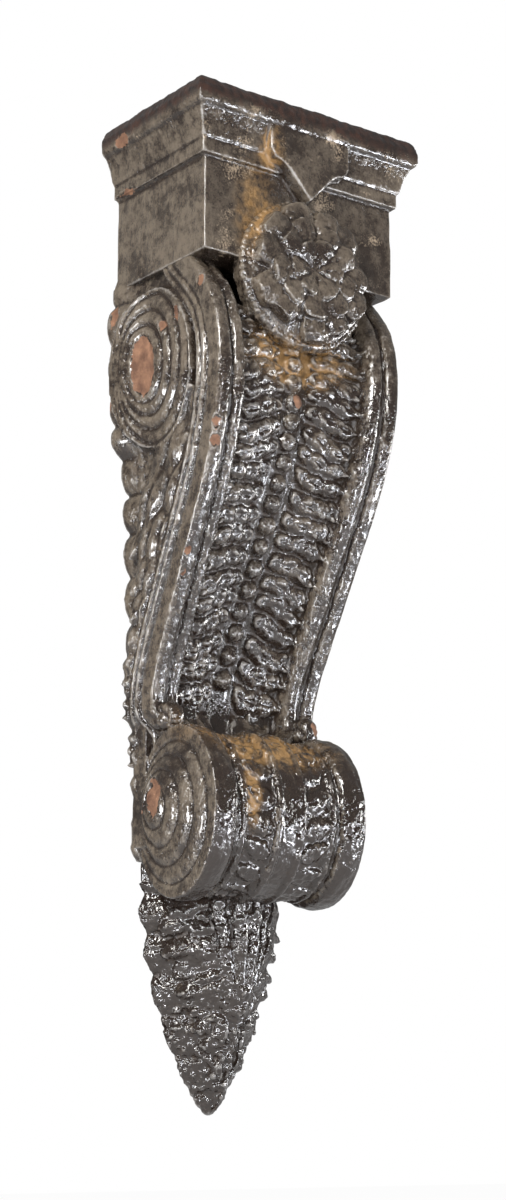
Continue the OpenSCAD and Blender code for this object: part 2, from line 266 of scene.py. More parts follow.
# Skins the parts over as one piece, works the paint's relief into it and marks its hollows
def finishPiece(name, shape, values, work):
    bmesh.ops.recalc_face_normals(shape, faces=shape.faces)
    mesh = bpy.data.meshes.new(name)
    shape.to_mesh(mesh)
    shape.free()
    piece = bpy.data.objects.new(name, mesh)
    bpy.context.scene.collection.objects.link(piece)
    skin = piece.modifiers.new("skin", "REMESH")
    skin.mode = "VOXEL"
    skin.voxel_size = values["voxel"]
    skin.use_smooth_shade = True
    applied(piece)
    mesh = piece.data
    points = relaxed(mesh, readPoints(mesh), values.get("rounding", finish["rounding"]))
    writePoints(mesh, points)
    points = points + readPoints(mesh, "normal") * work(points)[:, None]
    edge = chipEdge(points) + 0.6 * lumps(points, 3.1, 5) + 0.35 * lumps(points, 1.4, 6)
    points -= readPoints(mesh, "normal") * (finish["chipDepth"] * softStep(0.5, -0.4, edge))[:, None]
    out, snap = points[:, 1].copy(), finish["wallSnap"]         # the back is cut flat on the wall
    points[:, 1] = np.where(out > -snap, np.minimum(out + snap * (out > -1.2), 0), out)
    hidden = points[:, 2] > values.get("hiddenAbove", math.inf)
    points[hidden, 1] = np.minimum(points[hidden, 1], -finish["hiddenGap"])
    writePoints(mesh, points)
    facing = readPoints(mesh, "normal")
    fine = np.einsum("ij,ij->i", relaxed(mesh, points, finish["fineRounds"]) - points, facing)
    broad = np.einsum("ij,ij->i", relaxed(mesh, points, finish["broadRounds"]) - points, facing)
    smooth = relaxed(mesh, facing, finish["slopeRounds"])
    dust = np.max([softStep(1.15, 0.35, np.linalg.norm((points - place["at"]) / place["size"], axis=1))
                   for place in dusty], axis=0)
    # sideways picks out the side faces for a painted sheen; the hollow marks feed dust and painted shade
    marks = {"fineHollow": fine, "broadHollow": broad, "chipEdge": chipEdge(points), "dust": dust,
             "sideways": np.abs(smooth[:, 0]), "upward": smooth[:, 2]}
    for label, mark in marks.items():
        mesh.attributes.new(label, "FLOAT", "POINT").data.foreach_set("value", mark.astype(np.float32))
    writePoints(mesh, (points + np.array(setOut)) * unit)
    triangles = sum(len(polygon.vertices) - 2 for polygon in mesh.polygons)
    if triangles > finish["mostTriangles"]:
        thin = piece.modifiers.new("thin", "DECIMATE")
        thin.ratio = finish["mostTriangles"] / triangles
        applied(piece)
    dropCrumbs(piece.data)
    piece.data.shade_smooth()
    piece.data.set_sharp_from_angle(angle=math.radians(finish["creaseAngle"]))
    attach(piece, "root")
    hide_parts("corbel")
    print(name, "made,", sum(len(p.vertices) - 2 for p in piece.data.polygons), "triangles")
    return piece


# Block: die, moulded crown and the shield tab
crown = {
    # projection and height of each arris, from the die up to the flat top
    "steps": [(0, -1), (5, 0), (5, 14), (7, 15.5), (8, 20), (10, 29), (15, 40),
              (18, 41.5), (20, 45), (20, 56), (17, 64), (15, 67)],
    "tabWidth": 92, "neckWidth": 58, "tabDrop": 25, "tabOut": 17,
    "voxel": 1.35, "lumps": 0.55, "rounding": 1,
}


def makeBlock():
    shape = bmesh.new()
    corners = bmesh.ops.create_grid(shape, x_segments=1, y_segments=1, size=1)["verts"]
    face = shape.faces[:][0]
    sides = [(0, dieBottom)] + crown["steps"]
    for i, (out, z) in enumerate(sides):
        if i:
            face = bmesh.ops.extrude_face_region(shape, geom=[face])["geom"]
            face = [item for item in face if isinstance(item, bmesh.types.BMFace)][0]
            corners = face.verts[:]
        for vert in corners:
            vert.co.x = math.copysign(block["width"] / 2 + out, vert.co.x)
            front = vert.co.y < 0 if i == 0 else vert.co.y < -block["depth"] / 2
            vert.co.y = -(block["depth"] + out) if front else 0
            vert.co.z = z
    bmesh.ops.holes_fill(shape, edges=[edge for edge in shape.edges if edge.is_boundary])
    wide, neck = crown["tabWidth"] / 2, crown["neckWidth"] / 2
    half = [(wide, 50), (wide, 17), (wide - 5, 9), (neck + 2, 6), (neck - 3, 2)]
    outline = half + [(0, -crown["tabDrop"])] + [(-x, z) for x, z in reversed(half)]
    prism(shape, outline, -block["depth"] + 8, -block["depth"] - crown["tabOut"], axis="y")

    def work(points):
        x, y, z = points.T
        lip = softStep(36, 46, z)
        torn = np.clip(lumps(points, 17, 1) * 0.6 + lumps(points, 7, 2) * 0.5, -1, 0.4)
        arris = lip * softStep(crownHeight + 1, crownHeight - 10, z)
        brim = lip * softStep(9, 2, crownHeight - z)
        streak = lumps(points * [1, 1, 0.3], 4.5, 3) * 0.22
        sides = crown["lumps"] * lumps(points, 14, 4) + streak
        ragged = (arris * 0.25 + brim * 0.9) * torn
        return sides * (1 - 0.5 * lip) + ragged + lip * 0.3 * lumps(points, 3.5, 7)

    return finishPiece("crown_block", shape, crown, work)


# Boss: petals overlapping outwards on a dome, inside a rolled rim
boss = {
    "radius": 74, "z": dieBottom - 4, "ground": 22, "petalGround": 21, "sunk": 14,
    "rim": 6.5, "rimBalls": 72,
    # petals, start and end of each as shares of the radius, width, lift, turn in degrees
    "rings": [(11, 0.40, 0.96, 1.12, 12.5, 8), (9, 0.18, 0.70, 1.15, 12.0, 28),
              (6, 0.02, 0.42, 1.2, 10.0, 5)],
    "voxel": 0.95, "lumps": 0.8, "rounding": 1,
}


def makeBoss():
    shape = bmesh.new()
    radius = boss["radius"] - boss["rim"]

    def front(u, v):
        angle = u * math.tau
        height = boss["ground"] * np.sqrt(1 - 0.9 * v * v)
        for count, start, end, wide, lift, turn in boss["rings"]:
            for i in range(count):
                wobble = math.sin(i * 2.7 + count)
                middle = math.tau * i / count + math.radians(turn + 5 * wobble)
                away = (angle - middle + math.pi) % math.tau - math.pi
                s = (v - start) / (end * (1 + 0.05 * wobble) - start)
                tip = np.clip(s * 1.5 - 0.62, 0, 1) ** 2.4
                span = wide * math.pi / count * np.sqrt(np.clip(1 - tip, 0, 1))
                w = away / np.maximum(span, 0.001)
                inside = (s > 0) & (s < 1) & (np.abs(w) < 1)
                petal = (boss["petalGround"] * np.sqrt(1 - 0.86 * v * v) + lift * (0.25 + 0.75 * s)
                         - 4.2 * w * w - 1.6 * np.exp(-(w / 0.16) ** 2) * (1 - s))
                height = np.where(inside, np.maximum(height, petal), height)
        x, z = radius * v * np.cos(angle), boss["z"] + radius * v * np.sin(angle)
        return x, -block["depth"] - height, z

    def back(u, v):
        angle = u * math.tau
        x, z = radius * v * np.cos(angle), boss["z"] + radius * v * np.sin(angle)
        return x, -block["depth"] + boss["sunk"] + 0 * u, z

    carvedSlab(shape, 420, 90, front, back)
    for i in range(boss["rimBalls"]):
        angle = math.tau * i / boss["rimBalls"]
        thick = boss["rim"] * (0.8 - 0.2 * math.sin(angle))
        made = bmesh.ops.create_icosphere(shape, subdivisions=2, radius=thick)["verts"]
        bmesh.ops.translate(shape, verts=made, vec=(
            radius * math.cos(angle), -block["depth"] - 2, boss["z"] + radius * math.sin(angle)))

    def work(points):
        return boss["lumps"] * (lumps(points, 8, 11) + 0.6 * lumps(points, 3.6, 12))

    return finishPiece("boss", shape, boss, work)


# Height of one leaf on a flat field: base, heading, length, width, height and side lobes
def leaf(u, v, baseU, baseV, heading, length, width, height, lobes, curl=0.0):
    turn = math.radians(heading)
    alongU, alongV = math.cos(turn), math.sin(turn)
    s = ((u - baseU) * alongU + (v - baseV) * alongV) / length
    side = (-(u - baseU) * alongV + (v - baseV) * alongU) - curl * length * s * s
    edge = width / 2 * np.clip(np.sin(math.pi * np.clip(s, 0, 1) ** 0.75), 0, 1) ** 0.6
    edge = edge * (0.80 + 0.20 * np.abs(np.sin(lobes * math.pi * (s - 0.12)))) + 0.001
    w = side / edge
    inside = (s > 0.01) & (s < 0.99) & (np.abs(w) < 1)
    veins = 0.16 * np.cos(math.tau * (lobes * (s - 0.12) - 0.5 - 0.45 * np.abs(w)))
    midrib = 0.22 * np.exp(-(w / 0.13) ** 2)
    body = np.sqrt(np.clip(1 - w * w, 0, 1)) ** 0.7 * (0.72 + 0.38 * s + veins) - midrib
    return np.where(inside, height * body, 0)


# Scroll: panel of beads and leaves between moulded bands, volutes and acanthus on its sides
volute = {
    "eye": (46, dieBottom - 88), "eyeSize": (21, 33), "eyeLift": 4.2, "stretch": 1.5,
    "height": 6, "spacing": (3.2, 10.3), "outer": (61, dieBottom - 92, 57, 77), "swell": 13,
}
# Flat and twin rolls along the side, by their distance in from the front
sideBands = {"flat": 21.5, "twins": (26, 34), "twinWidth": 2.9, "twinHeight": 6, "start": 20, "end": 38}
acanthus = {
    "leaves": 8, "start": 30, "run": 300, "heading": 226, "height": 14,
    "ground": -7.5, "scallop": 37, "scallopRise": 9,
}
panel = {
    "beadSize": 19, "beadPitch": 21, "beads": 17, "firstBead": 92, "fieldWidth": 62,
    "leafHeight": 9, "leafFoot": 12.5, "leafLength": 50, "knob": (50, 7), "knobSize": (9, 8.5),
}
wallStrip = {"out": 8, "depth": 9}         # leafy strip along the wall beside the roll
# Distance in from the arris and height of the bands' section
bandSection = [(0, -4), (0.4, -2), (1.8, -0.5), (4, 0), (10, -0.2), (12.5, -1.2), (14, -5.5),
               (15.5, -7.5), (17.5, -6.5), (19, -3.2), (22, -1.4), (26, -1.6), (29, -3.6), (30.5, -6.5),
               (31.5, -7), (33, -13), (34, -30)]


# Distance in and height of the bands' section at a share of the way across them
def bandProfile(share):
    along = np.linspace(0, 1, len(bandSection))
    return [np.interp(share, along, column) for column in zip(*bandSection)]


# Distance from the front line, positive inside the stone
def trueInset(depth, z):
    best = np.full(depth.shape, 1e9)
    signed = best.copy()
    for y, lineZ, out in zip(frontLine[::3, 0], frontLine[::3, 1], lineOut[::3]):
        away = np.hypot(-depth - y, z - lineZ)
        side = (-depth - y) * out[0] + (z - lineZ) * out[1]
        signed = np.where(away < best, -side, signed)
        best = np.minimum(best, away)
    return np.where(signed > 0, best, -best)


def voluteHeight(depth, z):
    eyeDepth, eyeZ = volute["eye"]
    across, up = depth - eyeDepth, (z - eyeZ) / volute["stretch"]
    angle = np.arctan2(up, across)
    away = np.hypot(across, up)
    least, more = volute["spacing"]
    spacing = least + more * ((1 + np.cos(angle)) / 2)
    order = np.clip((away - volute["eyeSize"][0]) / spacing, 0, None) ** 0.9 * 1.12
    coil = order - angle / math.tau
    rings = volute["height"] * (np.abs(np.cos(math.pi * coil)) ** 0.55)
    eyeWide, eyeTall = volute["eyeSize"]
    eye = softStep(1.02, 0.93, np.hypot(across / eyeWide, (z - eyeZ) / eyeTall))
    middleDepth, middleZ, halfDepth, halfHeight = volute["outer"]
    rim = np.hypot((depth - middleDepth) / halfDepth, (z - middleZ) / halfHeight)
    inside = softStep(1.02, 0.96, rim)
    edge = ridge(rim, 0.985, 0.05) * volute["height"]
    coil = np.maximum(rings * softStep(1.05, 0.99, rim), edge)
    return np.maximum(coil, eye * volute["eyeLift"]), inside


def sideHeight(depth, z):
    inset = trueInset(depth, z)
    coil, inside = voluteHeight(depth, z)
    height = np.where(inset < sideBands["flat"], 0.6, -1.6)
    first, second = (ridge(inset, place, sideBands["twinWidth"]) for place in sideBands["twins"])
    twin = np.maximum(first, second) * sideBands["twinHeight"] - 3.2
    lower = softStep(volute["eye"][1] + 30, volute["eye"][1] - 30, z)
    moulded = (inset > sideBands["start"]) & (inset < sideBands["end"])
    height = np.where(moulded, twin * (0.35 + 0.65 * lower), height)
    scallop = np.abs(np.sin(math.pi * (z + 6 * np.sin(z / 40)) / acanthus["scallop"])) ** 0.6
    ground = acanthus["ground"]
    leaves = ground + acanthus["scallopRise"] * softStep(34, 2, depth) * scallop
    for i in range(acanthus["leaves"]):
        t = i / (acanthus["leaves"] - 1)
        base = volute["outer"][1] - acanthus["start"] - t * acanthus["run"]
        room = np.interp(base, frontLine[::-1, 1], -frontLine[::-1, 0]) - sideBands["end"]
        reach = max(room, 16)
        lift = leaf(depth, z, reach, base, acanthus["heading"] + 8 * t, reach * 1.35 + 14, 52 - 12 * t,
                    acanthus["height"], 3, 0.15)
        leaves = np.maximum(leaves, np.where(lift > 0, lift - 8.5, ground))
    below = (inset > sideBands["end"]) & (inside < 0.5)
    height = np.where(below, leaves, height)
    dished = np.where(inset > 37, coil - 1.0, np.maximum(height, coil - 1.0))
    height = np.where(inside > 0.5, dished, height)
    near = softStep(105, 55, np.abs(z - volute["eye"][1] - 4)) * softStep(66, 6, depth)
    return height + volute["swell"] * near


def panelHeight(across, distance):
    pitch = panel["beadPitch"]
    wander = np.sin(distance / 23) + 0.6 * np.sin(across / 7 + distance / 11)
    across, distance = across + 1.6 * wander, distance + 2.4 * np.sin(across / 9 + distance / 31)
    share = across / panel["fieldWidth"]
    height = 1.5 + 9 * softStep(0.35, 1.0, share) + 1.2 * ridge(across, 12.2, 1.3)
    floor = 2.0 + 7 * softStep(0.2, 1.0, share)
    (knobU, knobV), (knobWide, knobLong) = panel["knob"], panel["knobSize"]
    for i in range(-2, panel["beads"] + 1):
        base = panel["firstBead"] + (i + 0.5) * pitch
        wobble = math.sin(i * 1.9)
        rise = leaf(across, distance, panel["leafFoot"], base - 3, 12 + 5 * wobble,
                    panel["leafLength"], pitch * 1.12, panel["leafHeight"], 3, 0.10)
        knob = np.hypot((across - knobU - 2 * wobble) / knobWide, (distance - base - knobV) / knobLong)
        curl = 6.5 * np.clip(1 - knob ** 2, 0, 1) ** 0.5 - 5.0 * np.exp(-(knob / 0.42) ** 2)
        height = np.maximum(height, np.where(rise > 0, rise + floor, 0))
        height = np.where(knob < 1, np.maximum(height, floor + 3 + curl), height)
    return height


def makeScroll():
    shape = bmesh.new()
    lowest = lineRun[-1]
    bottomZ = frontLine[-1, 1]

    def core(u, v):
        y, z = onLine(v * lowest, scroll["panelInset"] + 1)
        return (u * 2 - 1) * (halfWidth(z) - 8), np.minimum(y, -4), z

    def wall(u, v):
        z = dieBottom + 12 - v * (dieBottom + 12 - bottomZ)
        return (u * 2 - 1) * (halfWidth(z) - 8), 0 * u, z

    carvedSlab(shape, 24, 160, core, wall)
    for side in (-1, 1):
        def band(u, v, side=side):
            inwards, height = bandProfile(u)
            y, z = onLine(v * lowest, -height)
            return side * (halfWidth(z) - inwards), y, z

        def bandBack(u, v, side=side):
            inwards, height = bandProfile(u)
            y, z = onLine(v * lowest, 34)
            return side * (halfWidth(z) - np.maximum(inwards, 10)), np.minimum(y, -2), z

        carvedSlab(shape, 64, 420, band, bandBack)

        # side face, from the wall to the arris
        def flank(u, v, side=side, carved=True):
            arrisY, arrisZ = onLine(v * lowest, 3.0)
            wallZ = dieBottom + 12 - v * (dieBottom + 12 - bottomZ)
            y = arrisY * u
            z = wallZ + (arrisZ - wallZ) * u
            height = sideHeight(-y, z) if carved else -14
            nubs = wallStrip["out"] + 2.5 * np.abs(np.sin(z / 13)) + 1.5 * np.sin(z / 5)
            beside = softStep(waistZ - 4, waistZ - 34, z)
            edge = softStep(wallStrip["depth"] + 1, wallStrip["depth"] - 1, -y)
            strip = beside * edge * (nubs if carved else 0)
            return side * (halfWidth(z) + height + strip), y, z

        carvedSlab(shape, 110, 380, flank, lambda u, v: flank(u, v, carved=False))

        def leafPanel(u, v, side=side, carved=True):
            distance = (0.10 + 0.90 * v) * lowest
            z0 = onLine(distance, scroll["panelInset"])[1]
            wide = halfWidth(z0) - scroll["bandWidth"] + 1
            across = u * wide
            field = across * panel["fieldWidth"] / np.maximum(wide, 1)
            height = panelHeight(field, distance) if carved else -5
            y, z = onLine(distance, scroll["panelInset"] - height)
            return side * across, y, z

        carvedSlab(shape, 90, 430, leafPanel, lambda u, v: leafPanel(u, v, carved=False))
    for i in range(panel["beads"]):
        y, z = onLine(panel["firstBead"] + i * panel["beadPitch"], scroll["panelInset"] - 1.5)
        wobble = 0.5 * math.sin(i * 2.3)
        ball(shape, (wobble, y, z), panel["beadSize"] / 2 + 0.3 * math.sin(i * 1.7), (1, 1, 0.98))

    def work(points):
        x, y, z = points.T
        sideways = softStep(6, 2, halfWidth(z) - np.abs(x))
        thick = scroll["lumps"] * (1 - 0.55 * sideways)
        fine = 0.8 * lumps(points * [1, 1, 0.6], 4.2, 22) + 0.5 * lumps(points, 2.6, 23)
        return thick * (lumps(points, 9, 21) + fine)

    return finishPiece("scroll", shape, {**scroll, "hiddenAbove": dieBottom + 0.5}, work)


# Roll: spiral end discs, moulded ends, a belt and a worn, leafy drum
def rollEndHeight(depth, z):
    eyeDepth, eyeZ, eyeRadius = roll["eye"][0], rollZ + roll["eye"][1], roll["eyeRadius"]
    stretch = roll["height"] / roll["depth"]
    px, pz = depth - eyeDepth, (z - eyeZ) / stretch
    dx, dz = roll["axis"] - eyeDepth, (rollZ - eyeZ) / stretch
    grow = roll["depth"] / 2 - eyeRadius
    a = dx * dx + dz * dz - grow * grow
    b = -2 * (px * dx + pz * dz + eyeRadius * grow)
    c = px * px + pz * pz - eyeRadius * eyeRadius
    t = (-b - np.sqrt(np.maximum(b * b - 4 * a * c, 0))) / (2 * a)
    t = np.where(c <= 0, 0, np.clip(t, 0, 1.2))
    coil = t * roll["turns"] + np.arctan2(pz, px) / math.tau
    rings = 4.2 * np.abs(np.cos(math.pi * coil)) ** 0.55 * softStep(1.0, 0.9, t)
    outerBand = 4.0 * softStep(0.80, 0.84, t) * softStep(1.005, 0.97, t)
    eye = 4.5 * np.sqrt(np.clip(1 - (px * px + pz * pz) / (eyeRadius * 1.15) ** 2, 0, 1))
    carved = np.maximum(np.maximum(rings * softStep(0.85, 0.80, t), outerBand), eye)
    return carved + 8 * softStep(0.85, 0, t)


# Distance across from the middle and share of the full radius for the roll's section
rollSection = [(0, 0.955), (9, 0.955), (10.5, 0.985), (13, 0.995), (15.5, 0.985), (17, 0.915), (19, 0.90),
               (40, 0.875), (46, 0.88), (47.5, 0.93), (50, 0.94), (52.5, 0.925), (54, 0.87), (57, 0.865),
               (59, 0.94), (62, 0.98), (68, 1.0), (76, 1.0), (80, 0.98), (82, 0.95)]


# Curled end of each pair of bands: turn in degrees, thickness and how far it thins
bandCurl = {"inwards": 15, "balls": 9, "start": 200, "turn": 250, "size": 8.5, "taper": 3.5}


def makeRoll():
    shape = bmesh.new()
    half, girth = roll["width"] / 2, 68

    def drum(u, v):
        across = (u * 2 - 1) * (half - 6)
        share = np.interp(np.abs(across), *zip(*rollSection))
        angle = v * math.tau
        field = np.abs(across)
        grow = np.zeros(u.shape)
        arc = angle * girth
        for i in range(roll["leaves"]):
            wobble = math.sin(i * 2.1)
            base = (i + 0.3) * math.tau * girth / roll["leaves"]
            rise = leaf(field, arc, 18.5, base, 16 + 6 * wobble, 30, 20, roll["leafHeight"], 3, 0.1)
            grow = np.maximum(grow, rise)
        depth = roll["axis"] + (roll["depth"] / 2 * share + grow) * np.cos(angle)
        z = rollZ + (roll["height"] / 2 * share + grow) * np.sin(angle)
        return across, -depth, z

    def spine(u, v):
        return (u * 2 - 1) * (half - 6), -roll["axis"] + 0 * u, rollZ + 0 * u

    carvedSlab(shape, 150, 360, drum, spine)
    for side in (-1, 1):
        def disc(u, v, side=side, carved=True):
            angle = u * math.tau
            depth = roll["axis"] + roll["depth"] / 2 * 0.985 * v * np.cos(angle)
            z = rollZ + roll["height"] / 2 * 0.985 * v * np.sin(angle)
            height = rollEndHeight(depth, z) - 3.6 if carved else -9
            return side * (half + height), -depth, z

        carvedSlab(shape, 300, 80, disc, lambda u, v: disc(u, v, carved=False))
        # curled end of the bands, resting on the roll's shoulder
        x = side * (scroll["waistWidth"] / 2 - bandCurl["inwards"])
        for t in np.linspace(0, 1, bandCurl["balls"]):
            angle = math.radians(bandCurl["start"] - bandCurl["turn"] * t)
            ball(shape, (x, -waist - 4 - 10 * math.cos(angle), waistZ - 14 + 9 * math.sin(angle)),
                 bandCurl["size"] - bandCurl["taper"] * t, (1.45, 1, 1))
        ball(shape, (x, -waist - 2, waistZ - 16), 10, (1.25, 1, 1))
        prism(shape, [(-2, waistZ + 20), (-22, waistZ + 20), (-22, rollZ - 28), (-2, rollZ - 28)],
              side * 30, side * (scroll["waistWidth"] / 2 - 5))

    def work(points):
        x, y, z = points.T
        ends = softStep(5, 1, half - np.abs(x))
        return roll["lumps"] * (1 - 0.5 * ends) * (lumps(points, 8.5, 31) + 0.7 * lumps(points, 3.6, 32))

    return finishPiece("roll", shape, roll, work)


# Pendant leaf: a ribbed leaf folded forwards off the wall, with lobes down its sides
pendant = {
    "top": rollBottom + 44, "halfWidth": 73, "out": 58, "fieldWidth": 70, "voxel": 1.05, "lumps": 1.2,
    "lobes": 9, "firstLobe": 34, "lobePitch": 26, "lobeHeight": 9.5,
    "knob": (27, 78), "knobSize": (13, 17),
    # place across and half width of each stem down the middle
    "stems": [(-17, 5.5), (-5.6, 5), (5.6, 5), (17, 5.5)], "stemHeight": 8.5,
}


def makePendant():
    shape = bmesh.new()
    long = pendant["top"] - leafTip

    def front(u, v, carved=True):
        w = u * 2 - 1
        taper = (1 - v ** 2.1) ** 0.8
        waves = np.abs(np.sin(math.pi * (6.3 * v + 0.2 + 0.12 * np.sign(w))))
        scallop = 1 + (0.10 * waves - 0.04) * (v > 0.1)
        wide = (pendant["halfWidth"] * taper + 3) * scallop
        deep = pendant["out"] * (1 - v ** 1.9) ** 0.8 + 7
        x = wide * np.sign(w) * np.abs(w) ** 0.85
        y = -deep * (1 - np.abs(w) ** 1.15)
        z = pendant["top"] - long * v
        if not carved:
            return x * 0.9, 0 * u, z
        across, down = w * pendant["fieldWidth"], v * long
        height = np.zeros(u.shape)
        (knobU, knobV), (knobWide, knobLong) = pendant["knob"], pendant["knobSize"]
        for side in (-1, 1):
            spread = side * across
            for i in range(pendant["lobes"]):
                base = pendant["firstLobe"] + pendant["lobePitch"] * i - 0.7 * i * i
                tall = pendant["lobeHeight"] - 0.5 * i + 1.5 * math.sin(i * 2.7 + side)
                reach, broad = 74 - 6.5 * i, 35 - 1.8 * i
                rise = leaf(spread, down, 3, base - 12, 50 - 2 * i, reach, broad, tall, 2, -0.18)
                height = np.maximum(height, rise + 0.5 * (rise > 0))
            knob = np.hypot((spread - knobU) / knobWide, (down - knobV) / knobLong)
            height = np.maximum(height, 11 * np.sqrt(np.clip(1 - knob ** 2, 0, 1)))
        stems = np.zeros(u.shape)
        gather = 1.15 - 0.75 * softStep(40, 150, down)
        for place, thick in pendant["stems"]:
            centre = place * gather
            rib = np.sqrt(np.clip(1 - ((across - centre) / thick) ** 2, 0, 1)) * softStep(165, 120, down)
            stems = np.maximum(stems, pendant["stemHeight"] * rib)
        height = np.where(np.abs(across) < 23 * gather, np.maximum(stems, height * 0.3), height)
        height = np.maximum(height, 4.5 * ridge(across, 0, 3) * softStep(130, 160, down))
        height = height * (0.35 + 0.65 * softStep(1.0, 0.8, np.abs(w)))
        tilt = 0.75 * np.sign(w) * np.abs(w) ** 0.7
        return x + height * tilt * 0.55, y - height * np.sqrt(1 - tilt * tilt), z - 0.1 * height

    carvedSlab(shape, 220, 300, front, lambda u, v: front(u, v, carved=False))

    def work(points):
        rough = 1 + 0.9 * softStep(leafTip + 120, leafTip + 60, points[:, 2])
        return pendant["lumps"] * rough * (lumps(points, 8, 41) + 0.8 * lumps(points, 3.8, 42))

    return finishPiece("pendant_leaf", shape, {**pendant, "hiddenAbove": frontLine[-1, 1]}, work)


pieces = [makeBlock(), makeBoss(), makeScroll(), makeRoll(), makePendant()]


# Shader maths as Python expressions: each value is a socket of the material's nodes
class Wire:
    def __init__(self, tree, socket=None):
        self.tree, self.socket = tree, socket

    def node(self, kind, settings=None, values=None, out=0):
        made = self.tree.nodes.new(kind)
        for name, value in (settings or {}).items():
            if name == "stops":
                for i, (place, shade) in enumerate(value):
                    stop = made.color_ramp.elements[i] if i < 2 else made.color_ramp.elements.new(place)
                    stop.position, stop.color = place, (*[shade] * 3, 1)
            else:
                setattr(made, name, value)
        for slot, value in (values or {}).items():
            if isinstance(value, Wire):
                self.tree.links.new(value.socket, made.inputs[slot])
            else:
                made.inputs[slot].default_value = value
        return Wire(self.tree, made.outputs[out] if made.outputs else None)

    def maths(self, operation, *values):
        return self.node("ShaderNodeMath", {"operation": operation}, dict(enumerate(values)))

    def __add__(self, other):
        return self.maths("ADD", self, other)

    def __sub__(self, other):
        return self.maths("SUBTRACT", self, other)

    def __rsub__(self, other):
        return self.maths("SUBTRACT", other, self)

    def __mul__(self, other):
        return self.maths("MULTIPLY", self, other)

    __radd__, __rmul__ = __add__, __mul__

    def highest(self, other):
        return self.maths("MAXIMUM", self, other)

    # 0 below the lower value and 1 above the upper one
    def between(self, lower, upper):
        return self.node("ShaderNodeMapRange", {"interpolation_type": "SMOOTHSTEP"},
                         {0: self, 1: lower, 2: upper, 3: 0.0, 4: 1.0})

    # This value as the share of the second colour over the first
    def colours(self, under, over):
        return self.node("ShaderNodeMix", {"data_type": "RGBA"}, {0: self, 6: under, 7: over}, out=2)

    def noise(self, millimetres, detail=3.0, stretch=(1, 1, 1), rough=0.55):
        place = self.node("ShaderNodeTexCoord", out=3)
        scale = [part / (millimetres * unit) for part in stretch]
        place = self.node("ShaderNodeMapping", values={0: place, 3: scale})
        return self.node("ShaderNodeTexNoise", None, {0: place, 2: 1.0, 3: detail, 4: rough})

    def attribute(self, name):
        return self.node("ShaderNodeAttribute", {"attribute_name": name}, out=2)


def colour(red, green, blue):
    return tuple(((part / 255 + 0.055) / 1.055) ** 2.4 for part in (red, green, blue)) + (1.0,)


# The pale film colour is both dust and a painted sheen on side faces, the darkest colour is both the torn
# lip's grime and painted shade in hollows, and the light grey edge colour is both wear and painted
# highlights on high spots
paint = {
    "clean": colour(38, 30, 25), "film": colour(100, 90, 78), "ochre": colour(134, 104, 66),
    "edge": colour(160, 157, 154), "stone": colour(84, 56, 40), "pale": colour(134, 98, 74),
    "rust": colour(70, 46, 36), "shadeAndGrime": colour(30, 24, 22), "beige": colour(164, 146, 124),
    "gloss": 0.10, "bump": 0.0032,
}


def newMaterial(name):
    made = bpy.data.materials.new(name)
    made.use_nodes = True
    made.node_tree.nodes.clear()
    return made, Wire(made.node_tree)
